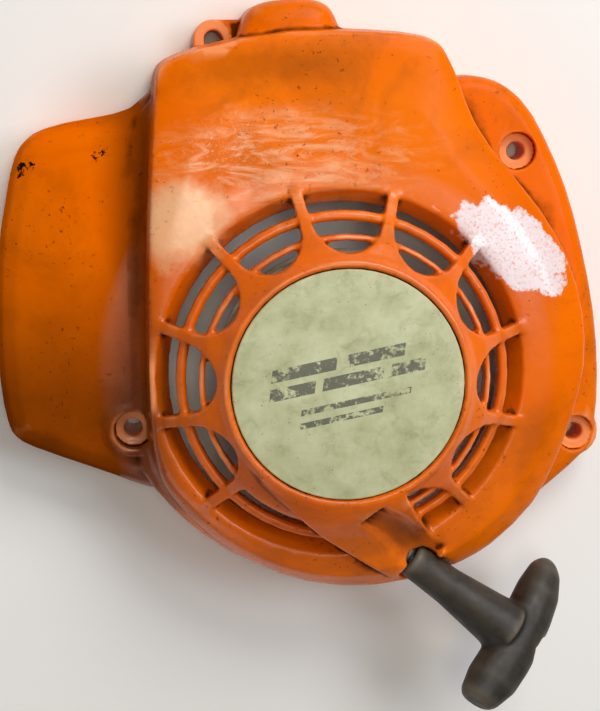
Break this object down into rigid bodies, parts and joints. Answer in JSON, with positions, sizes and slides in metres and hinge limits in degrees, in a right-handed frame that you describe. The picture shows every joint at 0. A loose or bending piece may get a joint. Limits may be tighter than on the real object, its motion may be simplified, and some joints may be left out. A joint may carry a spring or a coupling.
{
  "type": "recoil starter",
  "caption": "Recoil starter of a small engine: moulded fan housing with a round grille, rope rotor with rewind spring and pawls, and a T-grip on the rope.",
  "frame": {"origin": "centre of the bounding box in plan, on the mounting plane that the housing's rim rests on", "axes": "+Z out of the engine along the crank axis, +Y along the longest side towards the chimney bump, +X towards the flange with two screws"},
  "size_m": [0.17, 0.1932, 0.0522],
  "materials": {
    "nylon_orange": "glossy glass-filled nylon moulding, worn and grimy",
    "badge_print": "printed label, mottled and worn",
    "bushing_steel": "satin steel",
    "post_steel": "turned steel",
    "cartridge_plastic": "moulded black nylon",
    "screw_steel": "zinc plated",
    "spring_steel": "blued spring steel",
    "rotor_plastic": "natural nylon moulding",
    "bush_bronze": "sintered bronze",
    "rope_cord": "braided starter rope, soiled",
    "pawl_plastic": "moulded black nylon",
    "grip_rubber": "matt dark moulded rubber"
  },
  "bodies": {
    "housing": {"fan_housing": "nylon_orange", "hub_badge": "badge_print", "rope_bushing": "bushing_steel", "starter_post": "post_steel", "spring_cartridge": "cartridge_plastic", "spring_cover": "cartridge_plastic", "cartridge_screw_1": "screw_steel", "cartridge_screw_2": "screw_steel", "rewind_spring": "spring_steel", "rope_lead": "rope_cord"},
    "rotor": {"rope_rotor": "rotor_plastic", "rotor_bush": "bush_bronze", "rope_winding": "rope_cord", "rotor_knot": "rope_cord", "spring_clip": "spring_steel", "rotor_washer": "post_steel"},
    "pawl_a": {"pawl_1": "pawl_plastic"},
    "pawl_b": {"pawl_2": "pawl_plastic"},
    "grip": {"starter_grip": "grip_rubber", "grip_knot": "rope_cord"}
  },
  "joints": [
    {"name": "grip_pull", "type": "slide", "parent": "housing", "child": "grip", "axis": [0.788, -0.6157, 0], "range_m": [0, 0.75], "stiffness_N_per_m": 20, "springref_m": -0.4},
    {"name": "rotor_spin", "type": "hinge", "parent": "housing", "child": "rotor", "pos_m": [0.00735, -0.00266, 0.0318], "axis": [0, 0, 1], "range_deg": [0, 1700]},
    {"name": "pawl_a_swing", "type": "hinge", "parent": "rotor", "child": "pawl_a", "pos_m": [0.0146, 0.0099, 0.024], "axis": [0, 0, -1], "range_deg": [0, 25]},
    {"name": "pawl_b_swing", "type": "hinge", "parent": "rotor", "child": "pawl_b", "pos_m": [0.0001, -0.01521, 0.024], "axis": [0, 0, -1], "range_deg": [0, 25]}
  ],
  "couplings": [
    {"joint": "rotor_spin", "follows": "grip_pull", "rad_per_m": 39.4},
    {"joint": "pawl_b_swing", "follows": "pawl_a_swing", "ratio": 1}
  ]
}
